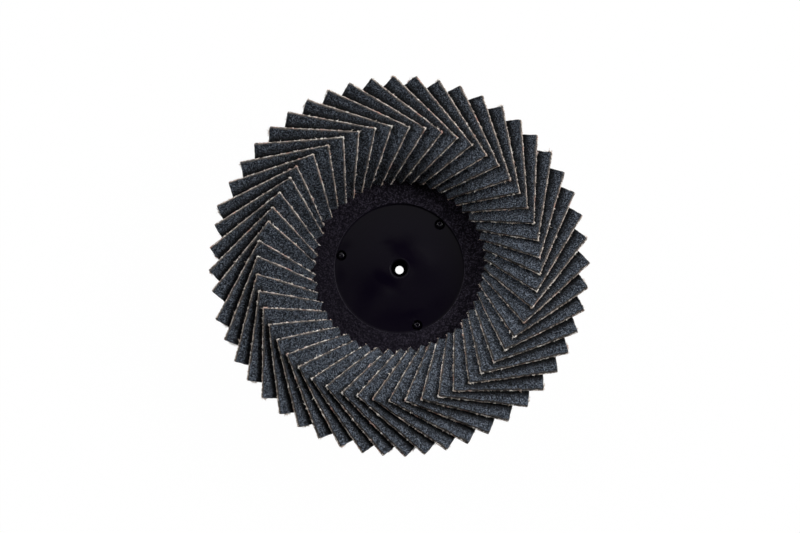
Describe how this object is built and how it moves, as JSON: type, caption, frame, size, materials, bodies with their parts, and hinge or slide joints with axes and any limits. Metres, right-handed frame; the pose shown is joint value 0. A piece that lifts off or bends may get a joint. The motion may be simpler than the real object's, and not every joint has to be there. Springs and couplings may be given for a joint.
{
  "type": "quick-change mini flap disc",
  "caption": "Round flap disc with overlapping abrasive cloth flaps on a closed plastic backing plate, driven by a threaded quick-change stud for grinding and blending metal.",
  "frame": {"origin": "centre of the end face of the stud that the disc stands on, on the disc's axis", "axes": "+Z along the spin axis, from the stud towards the abrasive face; +Y and +X in the plane of the disc"},
  "size_m": [0.0762, 0.0762, 0.0186],
  "materials": {
    "moulded_plastic": "black glass-filled nylon, spark-eroded matt with a smooth sunk middle",
    "cured_resin": "dark amber cured epoxy, semi-gloss",
    "abrasive_cloth": "medium blue-black grain and resin on a pale cotton-blend cloth, with cut edges"
  },
  "bodies": {
    "root": {"backing_plate": "moulded_plastic", "resin_bed": "cured_resin", "flap_01": "abrasive_cloth", "flap_02": "abrasive_cloth", "flap_03": "abrasive_cloth", "flap_04": "abrasive_cloth", "flap_05": "abrasive_cloth", "flap_06": "abrasive_cloth", "flap_07": "abrasive_cloth", "flap_08": "abrasive_cloth", "flap_09": "abrasive_cloth", "flap_10": "abrasive_cloth", "flap_11": "abrasive_cloth", "flap_12": "abrasive_cloth", "flap_13": "abrasive_cloth", "flap_14": "abrasive_cloth", "flap_15": "abrasive_cloth", "flap_16": "abrasive_cloth", "flap_17": "abrasive_cloth", "flap_18": "abrasive_cloth", "flap_19": "abrasive_cloth", "flap_20": "abrasive_cloth", "flap_21": "abrasive_cloth", "flap_22": "abrasive_cloth", "flap_23": "abrasive_cloth", "flap_24": "abrasive_cloth", "flap_25": "abrasive_cloth", "flap_26": "abrasive_cloth", "flap_27": "abrasive_cloth", "flap_28": "abrasive_cloth", "flap_29": "abrasive_cloth", "flap_30": "abrasive_cloth", "flap_31": "abrasive_cloth", "flap_32": "abrasive_cloth", "flap_33": "abrasive_cloth", "flap_34": "abrasive_cloth", "flap_35": "abrasive_cloth", "flap_36": "abrasive_cloth", "flap_37": "abrasive_cloth", "flap_38": "abrasive_cloth", "flap_39": "abrasive_cloth", "flap_40": "abrasive_cloth", "flap_41": "abrasive_cloth", "flap_42": "abrasive_cloth", "flap_43": "abrasive_cloth", "flap_44": "abrasive_cloth", "flap_45": "abrasive_cloth", "flap_46": "abrasive_cloth", "flap_47": "abrasive_cloth", "flap_48": "abrasive_cloth", "flap_49": "abrasive_cloth", "flap_50": "abrasive_cloth", "flap_51": "abrasive_cloth", "flap_52": "abrasive_cloth"}
  },
  "joints": []
}
